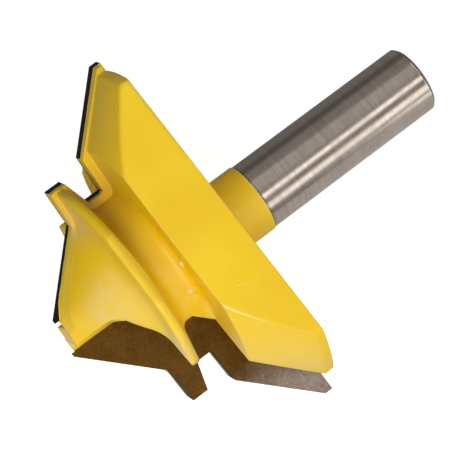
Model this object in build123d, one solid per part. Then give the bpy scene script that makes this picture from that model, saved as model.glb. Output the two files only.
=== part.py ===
from build123d import *
import os
from math import hypot, radians, sqrt, tan

# A lock mitre router bit for a router table: one turned and milled steel body with its
# shank, and two shaped carbide tips brazed into it, opposite each other. It lies on one
# of the two flats of its head, with its axis along X and its shank towards +X.

# Shank and collar, in millimetres
shank_diameter = 12.7
shank_length = 36.4
shank_chamfer = 0.5
collar_diameter = 13.1
collar_length = 8.6
collar_fillet = 1.2

# The cutting profile on a tip's rake face: a 45 degree mitre with a lock, a tongue and a
# groove, at its middle. Distances out are from the middle plane of the bit, and depths are
# below the top face of the head.
cutting_diameter = 69.6
nose_width = 7.0
edge_land = 1.5
lock_out = 19.3
lock_depth = 16.4
shoulder_run = 4.1
tongue_reach = 2.5
tongue_outer_face = 3.83
tongue_inner_face = 0.74
groove_fillet = 1.0

# Steel head: it stays inside the cutting profile, and follows it only just behind each tip,
# where its backing gets wider from the axis to the rim
rim_diameter = 65.6
profile_clearance = 0.9
groove_clearance = 0.65
nose_clearance = 0.8
flange_root_fillet = 4.5
flange_rim_fillet = 0.4
groove_floor_fillet = 1.5
backing_width = 1.9
backing_drop = 0.6
across_flats = 39.9
wing_turn = 5.0

# Carbide tips
rake_offset = 2.9
tip_thickness = 2.4
tip_width = 10.0
tip_inner_side = 2.8
tip_stand_out = 0.4
relief_angle = 20

# Chip gullets, one in front of each tip, wider past the tongue and the nose than
# through the rim. Their front walls open outwards, and their inner walls lean, apart from
# an upright slot beside the nose.
rim_gullet_width = 12.0
rim_gullet_flare = 2.6
nose_gullet_width = 13.1
nose_gullet_flare = 9.7
gullet_depth = 9.8
gullet_lean = 10.8
nose_web = 3.6
slot_web = 4.5
slot_end = -23.2
slot_fillet = 3.0

# Worked out from the sizes above
diagonal = sqrt(2)
edge_out = sqrt((cutting_diameter / 2) ** 2 - rake_offset**2)
mitre_start = -lock_depth - lock_out
nose_height = mitre_start + nose_width / 2
nose_end = nose_height + nose_clearance
edge_top = mitre_start + edge_out + edge_land
groove_top = profile_clearance + groove_clearance + tongue_outer_face - lock_depth
seat_face = rake_offset + tip_stand_out
ground_thickness = tip_thickness + backing_width
shank_end = collar_length + shank_length
past = cutting_diameter


def face(points):
    return make_face(Polyline(*points, close=True))


def cutting_edges(lowest, groove_room=0):
    """Corners of the cutting edges, from the nose to the rim, with room to spare in the groove."""
    lock = [
        (-shoulder_run, -shoulder_run),
        (tongue_reach, -tongue_outer_face),
        (tongue_reach, -tongue_inner_face),
        (-tongue_reach - groove_room, tongue_inner_face),
        (-tongue_reach - groove_room, tongue_outer_face + groove_room),
        (shoulder_run + groove_room, shoulder_run + groove_room),
    ]
    corners = [(lowest - mitre_start, lowest)]
    corners += [(lock_out + across, up - lock_depth) for across, up in lock]
    return corners + [(edge_out, mitre_start + edge_out)]


def swept(corners):
    """The same corners as radius and height, where they pass as the bit turns."""
    return [(hypot(out, rake_offset), up) for out, up in corners]


def filled_in(corners):
    """The face behind such corners, carried on past the top face and past the axis."""
    (_, lowest), *_, (widest, _) = corners
    return face(corners + [(widest, past), (-past, past), (-past, lowest)])


def rounded(outline, radius, *places):
    """An outline with fillets at the corners nearest to places in its lock."""
    corners = outline.vertices()
    return fillet([
        corners.sort_by_distance((lock_out + across, up - lock_depth))[0] for across, up in places
    ], radius)


def behind_mitre(inner_side, depth):
    """All that lies beyond a side near the axis, and less than a depth behind the mitre."""
    start = mitre_start + depth * diagonal
    return face([
        (inner_side, -past),
        (inner_side, start + inner_side),
        (past - start, past),
        (3 * past, past),
        (3 * past, -past),
    ])


def turned(section):
    """A section, drawn as radius and height, revolved about the axis of the bit."""
    return revolve(Plane.XZ * section, axis=Axis.Z)


def head():
    """The turned head, inside the path of the cutting edges by its clearance."""
    path = filled_in(swept(cutting_edges(nose_end - profile_clearance, groove_clearance)))
    section = offset(path, -profile_clearance, kind=Kind.INTERSECTION)
    section = rounded(section, flange_root_fillet, (-shoulder_run, -shoulder_run))
    section = rounded(
        section, flange_rim_fillet, (tongue_reach, -tongue_outer_face), (tongue_reach, -tongue_inner_face))
    section = rounded(
        section, groove_floor_fillet, (-tongue_reach, tongue_inner_face), (-tongue_reach, tongue_outer_face))
    blank = Pos(rim_diameter / 4, -past) * Rectangle(rim_diameter / 2, 2 * past)
    return turned(section & blank)


def ground_wing(top):
    """A tip and the steel behind it, up to a height, relieved towards the axis behind the rake face."""
    corners = cutting_edges(nose_height)
    outline = rounded(filled_in(corners), groove_fillet, (-tongue_reach, tongue_outer_face))
    below_top = Pos(0, top - past) * Rectangle(4 * past, 2 * past)
    rake_face = Plane.XZ.offset(-rake_offset) * (outline & below_top)
    relief = Vector(-tan(radians(relief_angle)), 1, 0) * ground_thickness
    inside = Pos(past / 2, 0) * Rectangle(past, 4 * past)
    return Solid.extrude(rake_face.face(), relief) & turned(filled_in(swept(corners)) & inside)


def carbide_tip():
    """A tip: the front of a ground wing, as a strip that follows the mitre."""
    strip = Plane.XZ.offset(-rake_offset) * behind_mitre(tip_inner_side, tip_width)
    return ground_wing(edge_top) & extrude(strip, -tip_thickness)


def backing():
    """The steel behind a tip, from the face where the tip's seat starts."""
    behind_tip = rake_offset + tip_thickness
    plan = face([
        (0, seat_face),
        (past, seat_face),
        (past, behind_tip + backing_width * past / edge_out),
        (0, behind_tip),
    ])
    strip = Plane.XZ.offset(-seat_face) * behind_mitre(0, tip_width)
    steel = extrude(strip, -ground_thickness) & extrude(Pos(0, 0, nose_end) * plan, past)
    return steel & ground_wing(edge_top - backing_drop)


def slot():
    """An upright slot beside the nose, open outwards, with a rounded end."""
    corner = (slot_web / 2, slot_end)
    plan = face([(slot_web / 2, -past), corner, (past, slot_end), (past, -past)])
    plan = fillet(plan.vertices().sort_by_distance(corner)[0], slot_fillet)
    return extrude(Plane.XZ * plan, past, both=True)


def gullet(width, flare, bottom, top):
    """The room milled in front of a tip, as deep behind the mitre all along."""
    front = rake_offset - width
    opening = past * tan(radians(flare))
    plan = face([
        (-past, front + opening),
        (2 * past, front - 2 * opening),
        (2 * past, seat_face),
        (-past, seat_face),
    ])
    lean = past * tan(radians(gullet_lean))
    walls = Pos(lean, -past, 0) * (Plane.XZ * behind_mitre(nose_web / 2, gullet_depth))
    room = Solid.extrude(walls.face(), Vector(-2 * lean, 2 * past, 0)) + slot()
    return room & extrude(Pos(0, 0, bottom) * plan, top - bottom)


def both_wings(shape):
    """A shape and its copy half a turn round, turned from the flats as the wings are."""
    return [Rot(0, 0, wing_turn + half_turn) * shape for half_turn in (0, 180)]


def shank_and_collar():
    return turned(face([
        (0, -nose_web),
        (0, shank_end),
        (shank_diameter / 2 - shank_chamfer, shank_end),
        (shank_diameter / 2, shank_end - shank_chamfer),
        (shank_diameter / 2, collar_length),
        (collar_diameter / 2, collar_length),
        (collar_diameter / 2, -nose_web),
    ]))


def steel_body():
    body = head()
    for room in both_wings(gullet(rim_gullet_width, rim_gullet_flare, groove_top, past)):
        body -= room
    for room in both_wings(gullet(nose_gullet_width, nose_gullet_flare, -past, groove_top)):
        body -= room
    body &= Box(4 * past, across_flats, 4 * past)
    body += shank_and_collar()
    root = body.edges().filter_by(GeomType.CIRCLE).filter_by_position(Axis.Z, -0.01, 0.01)
    body = fillet(root.sort_by(lambda edge: edge.radius)[0], collar_fillet)
    for steel in both_wings(backing()):
        body += steel
    for tip in both_wings(carbide_tip()):
        body -= tip
    return body


def laid_down(shape):
    """The bit as it rests: on a flat, its axis along X, over the middle of its length."""
    middle = (shank_end + nose_height) / 2
    bench = Plane(origin=(-middle, 0, across_flats / 2), x_dir=(0, -1, 0), z_dir=(1, 0, 0))
    return bench * shape


os.makedirs("parts", exist_ok=True)
export_step(laid_down(steel_body()), "parts/steel_body.step")
for number, tip in enumerate(both_wings(carbide_tip()), start=1):
    export_step(laid_down(tip), f"parts/carbide_tip_{number}.step")
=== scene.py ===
import bpy
from math import cos, pi, radians, sin
from mathutils import Matrix, Vector

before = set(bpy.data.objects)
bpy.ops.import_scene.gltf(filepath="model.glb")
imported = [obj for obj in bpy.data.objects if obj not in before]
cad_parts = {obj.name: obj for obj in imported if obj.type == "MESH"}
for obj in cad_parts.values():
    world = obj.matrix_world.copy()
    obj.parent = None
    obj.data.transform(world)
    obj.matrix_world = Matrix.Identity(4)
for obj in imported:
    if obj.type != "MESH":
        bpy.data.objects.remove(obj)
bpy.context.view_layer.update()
bpy.ops.object.select_all(action="DESELECT")


# The table that the bit lies on: a plain sheet of white paper, wide enough to fill every
# view. The lens sees it lit evenly to white, and it keeps the bit's soft shadow. Its grey
# colour is painted shade and light: dim on the far side and pale on the near side. In the
# bit's own shine it is pale only on the near side, and palest beside the nose, a painted
# reflection.
table_width = 6
painted_shade_paper, painted_lit_paper = (0.18, 0.18, 0.18, 1), (0.6, 0.6, 0.6, 1)
least_shine, most_shine = 0.05, 0.75
to_nose, to_near_side = (0.0, -0.06), (0.02, -0.015)
beside_shank = 0.32
whiteness = 0.9


def step(tree, kind, *sources, **settings):
    """Add a node, and give its inputs in order: a socket to wire in, a value, or None."""
    node = tree.nodes.new("ShaderNode" + kind)
    for name, value in settings.items():
        setattr(node, name, value)
    sockets = [socket for socket in node.inputs if socket.enabled]
    for socket, source in zip(sockets, sources):
        if isinstance(source, bpy.types.NodeSocket):
            tree.links.new(source, socket)
        elif source is not None:
            socket.default_value = source
    return next(socket for socket in node.outputs if socket.enabled)


def reckon(tree, operation, *numbers, **settings):
    """Work out a number from others, each a value or a socket."""
    return step(tree, "Math", *numbers, operation=operation, **settings)


def fade(tree, number, start, end, first, last, **settings):
    """Go from first to last while a number goes from start to end, and no further."""
    return step(tree, "MapRange", number, start, end, first, last, **settings)


def split(tree, vector):
    """The X, Y and Z of a vector."""
    return step(tree, "SeparateXYZ", vector).node.outputs


def new_material(name, **fixed):
    """A material with a Principled shader whose steady values are set on its own sockets."""
    material = bpy.data.materials.new(name)
    material.use_nodes = True
    shader = material.node_tree.nodes["Principled BSDF"]
    for socket, value in fixed.items():
        shader.inputs[socket.replace("_", " ")].default_value = value
    return material, material.node_tree, shader


bpy.ops.mesh.primitive_plane_add(size=table_width)
table = bpy.context.object
table.name = "table"
paper, tree, sheet = new_material("white_paper", Roughness=0.9, Emission_Color=(1, 1, 1, 1))
along, across, _ = split(tree, tree.nodes.new("ShaderNodeTexCoord").outputs["Object"])
# Painted shade and light: the paper is dimmer towards the far side and paler towards the near
# side and the nose
beside_nose = fade(tree, along, *to_nose, beside_shank, 1.0)
near = fade(tree, across, *to_near_side, 0.0, beside_nose)
painted_shade_on_paper = step(tree, "Mix", near, painted_shade_paper, painted_lit_paper, data_type="RGBA")
tree.links.new(painted_shade_on_paper, sheet.inputs["Base Color"])
# Its glow in the bit's shine is painted as well, faint on the far side
shine = fade(tree, near, 0.0, 1.0, least_shine, most_shine)
ray = tree.nodes.new("ShaderNodeLightPath").outputs
seen = reckon(tree, "MULTIPLY_ADD", ray["Is Glossy Ray"], shine, ray["Is Camera Ray"])
seen = reckon(tree, "ADD", seen, ray["Is Transmission Ray"])
tree.links.new(reckon(tree, "MULTIPLY", seen, whiteness), sheet.inputs["Emission Strength"])
table.data.materials.append(paper)


# The studio: a dim room and twelve soft lights close to the bit. Four are high over its
# nose and its near side, two are on its far side, one is low before its nose, and five are
# low in a row from its nose to the end of its shank.
room_brightness = 0.12
bit_middle = Vector((0, 0, 0.02))
light_distance = 0.45


def soft_light(name, turned, raised, wide, high, brightness):
    """A rectangular light that faces the bit, its width kept level."""
    toward = Vector((
        cos(radians(turned)) * cos(radians(raised)),
        sin(radians(turned)) * cos(radians(raised)),
        sin(radians(raised))))
    bpy.ops.object.light_add(type="AREA", location=bit_middle + toward * light_distance)
    light = bpy.context.object
    light.name = name
    light.rotation_euler = toward.to_track_quat("Z", "Y").to_euler()
    light.data.shape = "RECTANGLE"
    light.data.size, light.data.size_y = wide, high
    light.data.energy = brightness * wide * high * pi


room = bpy.data.worlds.new("dim_room")
room.use_nodes = True
room.node_tree.nodes["Background"].inputs["Color"].default_value = (1, 1, 1, 1)
room.node_tree.nodes["Background"].inputs["Strength"].default_value = room_brightness
bpy.context.scene.world = room
soft_light("nose_light", -150, 50, 0.4, 0.3, 1.95)
soft_light("far_nose_light", 180, 50, 0.4, 0.3, 0.9)
soft_light("lowest_nose_light", 178, 12, 0.3, 0.14, 1.25)
soft_light("high_nose_light", -130, 70, 0.3, 0.2, 1.6)
soft_light("high_light", -72, 64, 0.45, 0.07, 2.6)
soft_light("high_shank_light", 70, 71, 0.4, 0.3, 0.42)
soft_light("far_shank_light", 90, 40, 0.5, 0.35, 0.16)
soft_light("shank_light", 15, 31, 0.3, 0.12, 3.0)
soft_light("low_nose_light", -110, 31, 0.3, 0.12, 2.0)
soft_light("low_light", -72, 31, 0.3, 0.13, 1.8)
soft_light("low_shank_light", -35, 31, 0.3, 0.12, 1.1)
soft_light("lowest_light", -45, 8, 0.4, 0.12, 2.2)

# The camera, from the nose's side and nearly straight above, with a long lens
bpy.ops.object.camera_add()
camera = bpy.context.object
camera.data.lens, camera.data.sensor_width = 180.78, 36
camera.data.clip_start, camera.data.clip_end = 0.01, 20
camera.matrix_world = Matrix((
    (0.78376, 0.58573, -0.20650, -0.086285),
    (-0.61194, 0.78509, -0.09573, -0.040022),
    (0.10605, 0.20139, 0.97375, 0.406685),
    (0, 0, 0, 1)))
bpy.context.scene.camera = camera
bpy.context.scene.view_settings.view_transform = "Standard"


# The steel body: turned and milled from one bar. Its head and collar are sprayed with a
# thick yellow enamel, which rounds every edge and has a few runs and bubbles. Its shank is
# ground, oiled and bare.
axis_height = 0.01995
top_flat = 0.0399
wing_turn = radians(5)
rake_offset = 0.0029
tip_thickness = 0.0024
hundredth_of_a_millimetre = 0.00001


def new_group(name, inputs, outputs):
    """A node group with named inputs and outputs, and the sockets inside it."""
    group = bpy.data.node_groups.new(name, "ShaderNodeTree")
    for socket, kind in inputs:
        group.interface.new_socket(socket, in_out="INPUT", socket_type="NodeSocket" + kind)
    for socket, kind in outputs:
        group.interface.new_socket(socket, in_out="OUTPUT", socket_type="NodeSocket" + kind)
    given = group.nodes.new("NodeGroupInput").outputs
    made = group.nodes.new("NodeGroupOutput").inputs
    return group, given, made


def place_group(tree, group, **values):
    """Put a group in a material, with sockets wired to its inputs or values set on them."""
    node = tree.nodes.new("ShaderNodeGroup")
    node.node_tree = group
    for name, value in values.items():
        if isinstance(value, bpy.types.NodeSocket):
            tree.links.new(value, node.inputs[name])
        else:
            node.inputs[name].default_value = value
    return node.outputs


def noise(tree, place, scale, detail, roughness):
    """Cloudy noise between 0 and 1, with about as many clouds to a metre as its scale."""
    return step(tree, "TexNoise", place, scale, detail, roughness)


def stretch(tree, vector, factors):
    """A vector with each of its three numbers multiplied."""
    return step(tree, "VectorMath", vector, factors, operation="MULTIPLY")


def away_from(tree, place, x, y, z):
    """How far a place is from a spot that is given in millimetres."""
    spot = (x / 1000, y / 1000, z / 1000)
    return step(tree, "VectorMath", place, spot, operation="DISTANCE")


def blend(tree, share, first, second):
    """Mix two colours, or two numbers, by a mask."""
    colours = any(
        isinstance(one, tuple) or getattr(one, "type", "") == "RGBA" for one in (first, second))
    return step(tree, "Mix", share, first, second, data_type="RGBA" if colours else "FLOAT")


def raise_surface(tree, surface, height, normal, strength):
    """Give the shader a relief, in hundredths of a millimetre."""
    bump = tree.nodes.new("ShaderNodeBump")
    bump.inputs["Strength"].default_value = strength
    bump.inputs["Distance"].default_value = hundredth_of_a_millimetre
    tree.links.new(height, bump.inputs["Height"])
    if normal:
        tree.links.new(normal, bump.inputs["Normal"])
    tree.links.new(bump.outputs["Normal"], surface.inputs["Normal"])


# The enamel, which also laps over the back of a tip. It has small bubbles all over, and
# drops at spots that are given in millimetres, with their sizes. Bubbles and drops are paler,
# partly as thicker paint and partly as a painted highlight of the glints they catch.
deep_yellow, bright_yellow = (0.82, 0.515, 0.003, 1), (0.88, 0.585, 0.006, 1)
drop_cream_and_highlight, drop_and_highlight_paleness = (0.96, 0.82, 0.40, 1), 1.2
glossiest, dullest, drop_gloss = 0.30, 0.48, 0.6
flow_height, drop_height = 7.0, 120.0
bubbles_to_a_metre, bubble_size, bubble_height = 130.0, 0.05, 0.3
drop_spots = (
    (-17.45, -2.6, 37.5, 0.7), (-17.7, -3.3, 35.8, 0.75), (-17.6, -8.1, 35.9, 0.5),
    (-18.6, -7.7, 33.4, 0.7), (-12.2, -12.3, 39.9, 0.3), (-12.9, -12.0, 39.9, 0.25))

enamel, given, made = new_group(
    "yellow_enamel", [("Place", "Vector")],
    [("Colour", "Color"), ("Roughness", "Float"), ("Relief", "Float")])
place = given["Place"]
cloudy = noise(enamel, place, 70.0, 3.0, 0.55)
shade = fade(enamel, cloudy, 0.35, 0.65, 0.0, 1.0)
yellow = blend(enamel, shade, deep_yellow, bright_yellow)
smudged = noise(enamel, place, 130.0, 4.0, 0.6)
peel = noise(enamel, place, 1100.0, 2.0, 0.5)
flow = noise(enamel, place, 170.0, 2.0, 0.5)
relief = reckon(enamel, "MULTIPLY_ADD", flow, flow_height, peel)
bubbles = step(enamel, "TexVoronoi", place, bubbles_to_a_metre)
drops = fade(
    enamel, bubbles, bubble_size, 0.0, 0.0, bubble_height, interpolation_type="SMOOTHSTEP")
for x, y, z, size in drop_spots:
    away = away_from(enamel, place, x, y, z)
    drop = fade(enamel, away, size / 1000, 0.0, 0.0, size, interpolation_type="SMOOTHSTEP")
    drops = reckon(enamel, "ADD", drops, drop)
relief = reckon(enamel, "MULTIPLY_ADD", drops, drop_height, relief)
enamel.links.new(relief, made["Relief"])
# Partly a painted highlight: bubbles and drops are made paler and cream
pale_drops_and_highlight = reckon(enamel, "MULTIPLY", drops, drop_and_highlight_paleness, use_clamp=True)
enamel.links.new(blend(enamel, pale_drops_and_highlight, yellow, drop_cream_and_highlight), made["Colour"])
gloss = fade(enamel, smudged, 0.33, 0.67, glossiest, dullest)
gloss = reckon(enamel, "MULTIPLY_ADD", drops, -drop_gloss, gloss)
enamel.links.new(gloss, made["Roughness"])

# How near a corner is, from 0 on a flat to 1 at a sharp edge, and the normals of an edge
# that is rounded by a coat of paint or by wear. It goes by how far the two normals agree.
on_flat, on_corner = 0.99, 0.9
edges, given, made = new_group(
    "rounded_edges", [("Width", "Float")], [("Edge", "Float"), ("Rounded", "Vector")])
rounded = step(edges, "Bevel", given["Width"], samples=8)
flat = edges.nodes.new("ShaderNodeNewGeometry").outputs["Normal"]
agree = step(edges, "VectorMath", rounded, flat, operation="DOT_PRODUCT")
edges.links.new(fade(edges, agree, on_flat, on_corner, 0.0, 1.0), made["Edge"])
edges.links.new(rounded, made["Rounded"])

# How far a place lies behind the plane of the rake face, for either tip
rake_plane, given, made = new_group(
    "from_the_rake_face", [("Place", "Vector")], [("Behind", "Float")])
from_axis = step(
    rake_plane, "VectorMath", given["Place"], (0, 0, axis_height), operation="SUBTRACT")
square_to_rake = (0, -sin(wing_turn), cos(wing_turn))
off_axis = step(rake_plane, "VectorMath", from_axis, square_to_rake, operation="DOT_PRODUCT")
off_axis = reckon(rake_plane, "ABSOLUTE", off_axis)
rake_plane.links.new(reckon(rake_plane, "SUBTRACT", off_axis, rake_offset), made["Behind"])

# Marks of the grinding wheel: fine parallel lines of uneven depth, and stains. Stretch
# squeezes the lines across their run and draws them out along it.
broader, broad_share = (0.2, 0.7, 0.7), 0.6
grinding, given, made = new_group(
    "grinding_marks", [("Place", "Vector"), ("Stretch", "Vector")],
    [("Lines", "Float"), ("Stains", "Float")])
squeezed = stretch(grinding, given["Place"], given["Stretch"])
fine = noise(grinding, squeezed, 1.0, 3.0, 0.6)
broad = noise(grinding, stretch(grinding, squeezed, broader), 1.0, 2.0, 0.5)
broad = reckon(grinding, "SUBTRACT", broad, 0.5)
lines = reckon(grinding, "MULTIPLY_ADD", broad, broad_share, fine)
grinding.links.new(lines, made["Lines"])
blotches = noise(grinding, given["Place"], 230.0, 4.0, 0.65)
grinding.links.new(fade(grinding, blotches, 0.42, 0.62, 0.0, 1.0), made["Stains"])

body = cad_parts["steel_body"]
coat, tree, surface = new_material("yellow_enamel_and_ground_shank")
place = tree.nodes.new("ShaderNodeTexCoord").outputs["Object"]
along, across, up = split(tree, place)
paint = place_group(tree, enamel, Place=place)
marks = place_group(tree, grinding, Place=place, Stretch=(7000, 90, 90))

# The coat ends at a ragged line, just past the collar
paint_end, raggedness = 0.00212, 0.00016
ragged = noise(tree, place, 900.0, 2.0, 0.5)
past_paint = reckon(tree, "MULTIPLY_ADD", ragged, -raggedness, along)
bare = reckon(tree, "GREATER_THAN", past_paint, paint_end)

# It rounds the edges by its thickness, and by more at the rim of the tongue's flange and at
# the far crease of the head, but it leaves the seam beside a tip sharp
coat_thickness, more_on_flange, more_on_crease = 0.0005, 0.0005, 0.001
flange_middle, flange_reach = -0.0247, 0.0014
crease_height, crease_side = (0.034, 0.036), (0.006, 0.018)
seam_width = (0.0002, 0.0007)
high = fade(tree, up, *crease_height, 0.0, more_on_crease)
far_crease = fade(tree, across, *crease_side, 0.0, high)
on_flange = reckon(tree, "COMPARE", along, flange_middle, flange_reach)
thick = reckon(tree, "MULTIPLY_ADD", on_flange, more_on_flange, far_crease)
thick = reckon(tree, "ADD", thick, coat_thickness)
behind = place_group(tree, rake_plane, Place=place)["Behind"]
seam = reckon(tree, "ABSOLUTE", reckon(tree, "SUBTRACT", behind, tip_thickness))
off_seam = fade(tree, seam, *seam_width, 0.0, 1.0)
thick = reckon(tree, "MULTIPLY", thick, off_seam)
soft = place_group(tree, edges, Width=thick)

# It is paler where it is thin, on the edges
edge_yellow, edge_paleness = (0.97, 0.78, 0.22, 1), 0.08
thin = reckon(tree, "MULTIPLY", soft["Edge"], edge_paleness)
yellow = blend(tree, thin, paint["Colour"], edge_yellow)

# A painted reflection: a streaky pale haze on the nose, the flange and the near wing, in
# place of the white paper shining in the enamel: each spot and how far its haze reaches, in
# millimetres, and its strength
painted_reflection_haze = (0.72, 0.57, 0.46, 1)
reflection_spots = (
    (-30.2, -1.8, 31.0, 8.0, 0.30), (-25.6, 13.2, 28.4, 5.0, 0.4),
    (-25.7, -15.6, 33.6, 6.5, 0.35), (-12.0, -28.0, 29.0, 12.0, 0.12))
weakest_streak = 0.3
streaks = noise(tree, stretch(tree, place, (1500, 260, 400)), 1.0, 3.0, 0.6)
streaks = fade(tree, streaks, 0.36, 0.64, weakest_streak, 1.0)
for x, y, z, reach, strength in reflection_spots:
    away = away_from(tree, place, x, y, z)
    painted_reflection = fade(tree, away, reach / 1000, reach / 4000, 0.0, strength)
    painted_reflection = reckon(tree, "MULTIPLY", painted_reflection, streaks)
    yellow = blend(tree, painted_reflection, yellow, painted_reflection_haze)

# Painted shade: the enamel is painted browner in the groove towards the back of a tip,
# where the flange shades it, and darker on the flange's rim. Out is the distance across
# from the axis, less than 0 on the side of a rake face.
groove_painted_shade, groove_shade_share = (0.45, 0.24, 0.0, 1), 0.75
rim_painted_shade, rim_shade_share = (0.45, 0.26, 0.005, 1), 0.5
toward_back = (-0.004, 0.007)
into_groove, flange_root = (-0.0195, -0.0220), (-0.0240, -0.0233)
rim_start, rim_end = (-0.0240, -0.0241), (-0.0254, -0.0244)
above_axis = reckon(tree, "SUBTRACT", up, axis_height)
half = reckon(tree, "SIGN", above_axis)
out = reckon(tree, "MULTIPLY", half, across)
shade_toward_back = fade(tree, out, *toward_back, 0.0, groove_shade_share)
painted_groove_shade = fade(tree, along, *into_groove, 0.0, shade_toward_back)
painted_groove_shade = fade(tree, along, *flange_root, 0.0, painted_groove_shade)
yellow = blend(tree, painted_groove_shade, yellow, groove_painted_shade)
# Painted shade on the flange's rim: darker brown
shaded_rim = fade(tree, along, *rim_start, 0.0, rim_shade_share)
shaded_rim = fade(tree, along, *rim_end, 0.0, shaded_rim)
yellow = blend(tree, shaded_rim, yellow, rim_painted_shade)

# It is painted darker on the narrow ledge of steel behind each tip, from the flange to the
# nose: painted shade, so that the ledge's lit step does not stand out
ledge_painted_shade, ledge_shade_share = (0.31, 0.225, 0.0, 1), 0.62
square_to_ledge, half_below_flats = 0.9, 0.012
ledge_start, past_nose_web = (-0.0262, -0.0276), (-0.003, 0.004)
facing = split(tree, tree.nodes.new("ShaderNodeNewGeometry").outputs["True Normal"])
ledge = reckon(tree, "MULTIPLY", facing["Z"], half)
ledge = reckon(tree, "GREATER_THAN", ledge, square_to_ledge)
between_flats = reckon(tree, "COMPARE", above_axis, 0.0, half_below_flats)
ledge = reckon(tree, "MULTIPLY", ledge, between_flats)
ledge = fade(tree, out, *past_nose_web, 0.0, ledge)
ledge = fade(tree, along, *ledge_start, 0.0, ledge)
ledge = reckon(tree, "MULTIPLY", ledge, ledge_shade_share)
yellow = blend(tree, ledge, yellow, ledge_painted_shade)

# A run of it has set thick and glossy under the edge of the upper flat, and a painted glint, a
# pale cream line, lies along it
painted_glint_yellow, painted_glint_share = (1.0, 0.90, 0.50, 1), 0.7
run_reach, run_height = (0.0075, 0.0015), (0.0395, 0.0398)
run_gloss, glossiest_run = 0.22, 0.12
away = away_from(tree, place, -16.9, -13.8, 39.8)
run_and_painted_glint = fade(tree, away, *run_reach, 0.0, painted_glint_share)
run_and_painted_glint = fade(tree, up, *run_height, 0.0, run_and_painted_glint)
below_flat = reckon(tree, "LESS_THAN", up, top_flat - hundredth_of_a_millimetre)
run_and_painted_glint = reckon(tree, "MULTIPLY", run_and_painted_glint, below_flat)
# Painted highlight: the run's pale cream colour stands in for a glint
yellow = blend(tree, run_and_painted_glint, yellow, painted_glint_yellow)

# It was ground away with the near tip's lock, low on the two walls beside it
ground_brown = (0.12, 0.065, 0.02, 1)
lock_walls, wall_reach = (-0.0186, -0.0268), 0.0008
grinding_top, to_lock = 0.0136, (-0.0155, -0.017)
low = reckon(tree, "LESS_THAN", up, grinding_top)
worn_off = fade(tree, across, *to_lock, 0.0, low)
for wall in lock_walls:
    on_wall = reckon(tree, "COMPARE", along, wall, wall_reach)
    yellow = blend(tree, reckon(tree, "MULTIPLY", worn_off, on_wall), yellow, ground_brown)

# It ends in a paler lip
lip_yellow, lip_share, lip_start = (0.95, 0.75, 0.10, 1), 0.5, 0.00185
lip = fade(tree, past_paint, lip_start, paint_end, 0.0, lip_share)
yellow = blend(tree, lip, yellow, lip_yellow)

# The bare shank: ground in rings and stained, with a painted shadow along the paint's edge and
# a dark chamfer
dark_steel, light_steel = (0.42, 0.355, 0.30, 1), (0.68, 0.585, 0.505, 1)
stain_brown, stain_share = (0.30, 0.22, 0.16, 1), 0.14
paint_edge_shadow_dark, paint_edge_shadow_share, paint_edge_shadow_width = (0.07, 0.06, 0.05, 1), 0.7, (0.0026, 0.0022)
chamfer_grey, chamfer_share = (0.09, 0.075, 0.065, 1), 0.75
chamfer_start = (0.03806, 0.03812)
smoothest, roughest = 0.22, 0.25
steel = blend(tree, marks["Lines"], dark_steel, light_steel)
stain = reckon(tree, "MULTIPLY", marks["Stains"], stain_share)
steel = blend(tree, stain, steel, stain_brown)
# Painted shadow of the paint's edge on the bare steel just past it
line = fade(tree, past_paint, *paint_edge_shadow_width, 0.0, paint_edge_shadow_share)
steel = blend(tree, line, steel, paint_edge_shadow_dark)
chamfer = fade(tree, along, *chamfer_start, 0.0, chamfer_share)
steel = blend(tree, chamfer, steel, chamfer_grey)

# The enamel and the bare steel together
tree.links.new(blend(tree, bare, yellow, steel), surface.inputs["Base Color"])
tree.links.new(bare, surface.inputs["Metallic"])
ground = fade(tree, marks["Stains"], 0.0, 1.0, smoothest, roughest)
wet = reckon(tree, "MULTIPLY_ADD", run_and_painted_glint, -run_gloss, paint["Roughness"])
wet = reckon(tree, "MAXIMUM", wet, glossiest_run)
tree.links.new(blend(tree, bare, wet, ground), surface.inputs["Roughness"])
relief = blend(tree, bare, paint["Relief"], marks["Lines"])
raise_surface(tree, surface, relief, soft["Rounded"], strength=0.5)
body.data.materials[0] = coat


# The carbide tips: sintered strips, brazed against the steel that backs them and ground to
# the profile. Their rake faces are stained brown near the nose and grey at the rim, their
# ground edges are black, and on the far tip the enamel laps over the backs of those edges.
rake_tolerance = 0.00003
carbide, tree, surface = new_material("ground_carbide", Specular_IOR_Level=0.15)
place = tree.nodes.new("ShaderNodeTexCoord").outputs["Object"]
along, across, _ = split(tree, place)
out = reckon(tree, "ABSOLUTE", across)
behind = place_group(tree, rake_plane, Place=place)["Behind"]
on_rake = reckon(tree, "LESS_THAN", behind, rake_tolerance)
marks = place_group(tree, grinding, Place=place, Stretch=(500, 120, 2000))

# A rake face is mottled, and turns from brown to grey on the way out, along a ragged line
dark_brown, light_brown = (0.068, 0.030, 0.002, 1), (0.155, 0.077, 0.013, 1)
dark_grey, light_grey = (0.16, 0.12, 0.095, 1), (0.38, 0.305, 0.26, 1)
brown_end, grey_start, raggedness = 0.0235, 0.0315, 0.004
blotch_share = 0.6
speckle = noise(tree, place, 2600.0, 4.0, 0.7)
blotchy = noise(tree, place, 260.0, 4.0, 0.6)
mottled = reckon(tree, "MULTIPLY_ADD", blotchy, blotch_share, speckle)
mottled = fade(tree, mottled, 0.55, 1.05, 0.0, 1.0)
stained = reckon(tree, "MULTIPLY_ADD", blotchy, raggedness, out)
clean = fade(tree, stained, brown_end, grey_start, 0.0, 1.0)
brown = blend(tree, mottled, dark_brown, light_brown)
grey = blend(tree, mottled, dark_grey, light_grey)
rake = blend(tree, clean, brown, grey)

# Its cutting edge is worn dark, and the clearance faces behind it are black
worn_edge, worn_share, worn_width = (0.03, 0.02, 0.015, 1), 0.5, 0.00015
clearance_black = (0.014, 0.009, 0.006, 1)
sharp = place_group(tree, edges, Width=worn_width)
worn = reckon(tree, "MULTIPLY", sharp["Edge"], worn_share)
rake = blend(tree, worn, rake, worn_edge)
bare_tip = blend(tree, on_rake, clearance_black, rake)

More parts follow.
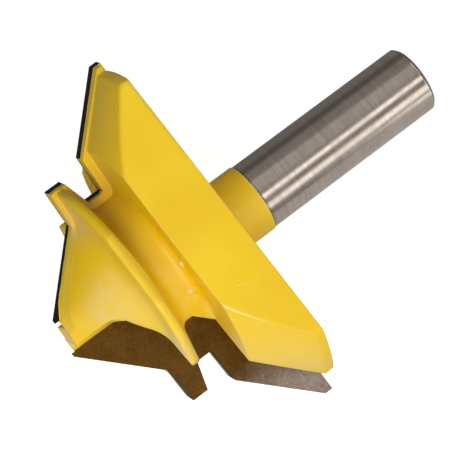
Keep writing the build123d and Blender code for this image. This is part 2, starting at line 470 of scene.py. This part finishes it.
# The enamel laps over the far tip from its back, on the faces that are turned to the nose,
# and ends in a pale ragged lip. It comes nearer to the rake face on the lock's square walls
# than on the mitre, and from the lock to the shank it laps over such walls alone.
lap_yellow, lap_share, lap_lip = (0.96, 0.80, 0.36, 1), 0.6, 0.0004
raggedness, on_wall, on_mitre = 0.0004, 0.0009, 0.0017
wall_turn, mitre_turn, lock_end = (-0.95, -0.9), -0.6, (-0.0194, -0.0193)
paint = place_group(tree, enamel, Place=place)
ragged = noise(tree, place, 700.0, 2.0, 0.5)
lap = reckon(tree, "MULTIPLY_ADD", ragged, raggedness, behind)
facing = split(tree, tree.nodes.new("ShaderNodeNewGeometry").outputs["True Normal"])
limit = fade(tree, facing["X"], *wall_turn, on_wall, on_mitre)
least_turn = fade(tree, along, *lock_end, mitre_turn, wall_turn[1])
toward_nose = reckon(tree, "LESS_THAN", facing["X"], least_turn)
far_tip = reckon(tree, "GREATER_THAN", across, 0.0)
toward_nose = reckon(tree, "MULTIPLY", toward_nose, far_tip)
limit = blend(tree, toward_nose, tip_thickness, limit)
past_limit = reckon(tree, "SUBTRACT", lap, limit)
lapped = reckon(tree, "GREATER_THAN", past_limit, 0.0)
lip = fade(tree, past_limit, 0.0, lap_lip, lap_share, 0.0)
lap_colour = blend(tree, lip, paint["Colour"], lap_yellow)

# The carbide's shine: a satin metal on the rake face, and dull behind it
rake_metal, clearance_roughness = 0.6, 0.7
smoothest, roughest = 0.34, 0.5
tree.links.new(blend(tree, lapped, bare_tip, lap_colour), surface.inputs["Base Color"])
tree.links.new(reckon(tree, "MULTIPLY", on_rake, rake_metal), surface.inputs["Metallic"])
satin = fade(tree, mottled, 0.0, 1.0, smoothest, roughest)
roughness = blend(tree, on_rake, clearance_roughness, satin)
tree.links.new(roughness, surface.inputs["Roughness"])
relief = blend(tree, lapped, marks["Lines"], paint["Relief"])
raise_surface(tree, surface, relief, None, strength=0.4)
for name in ("carbide_tip_1", "carbide_tip_2"):
    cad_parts[name].data.materials[0] = carbide
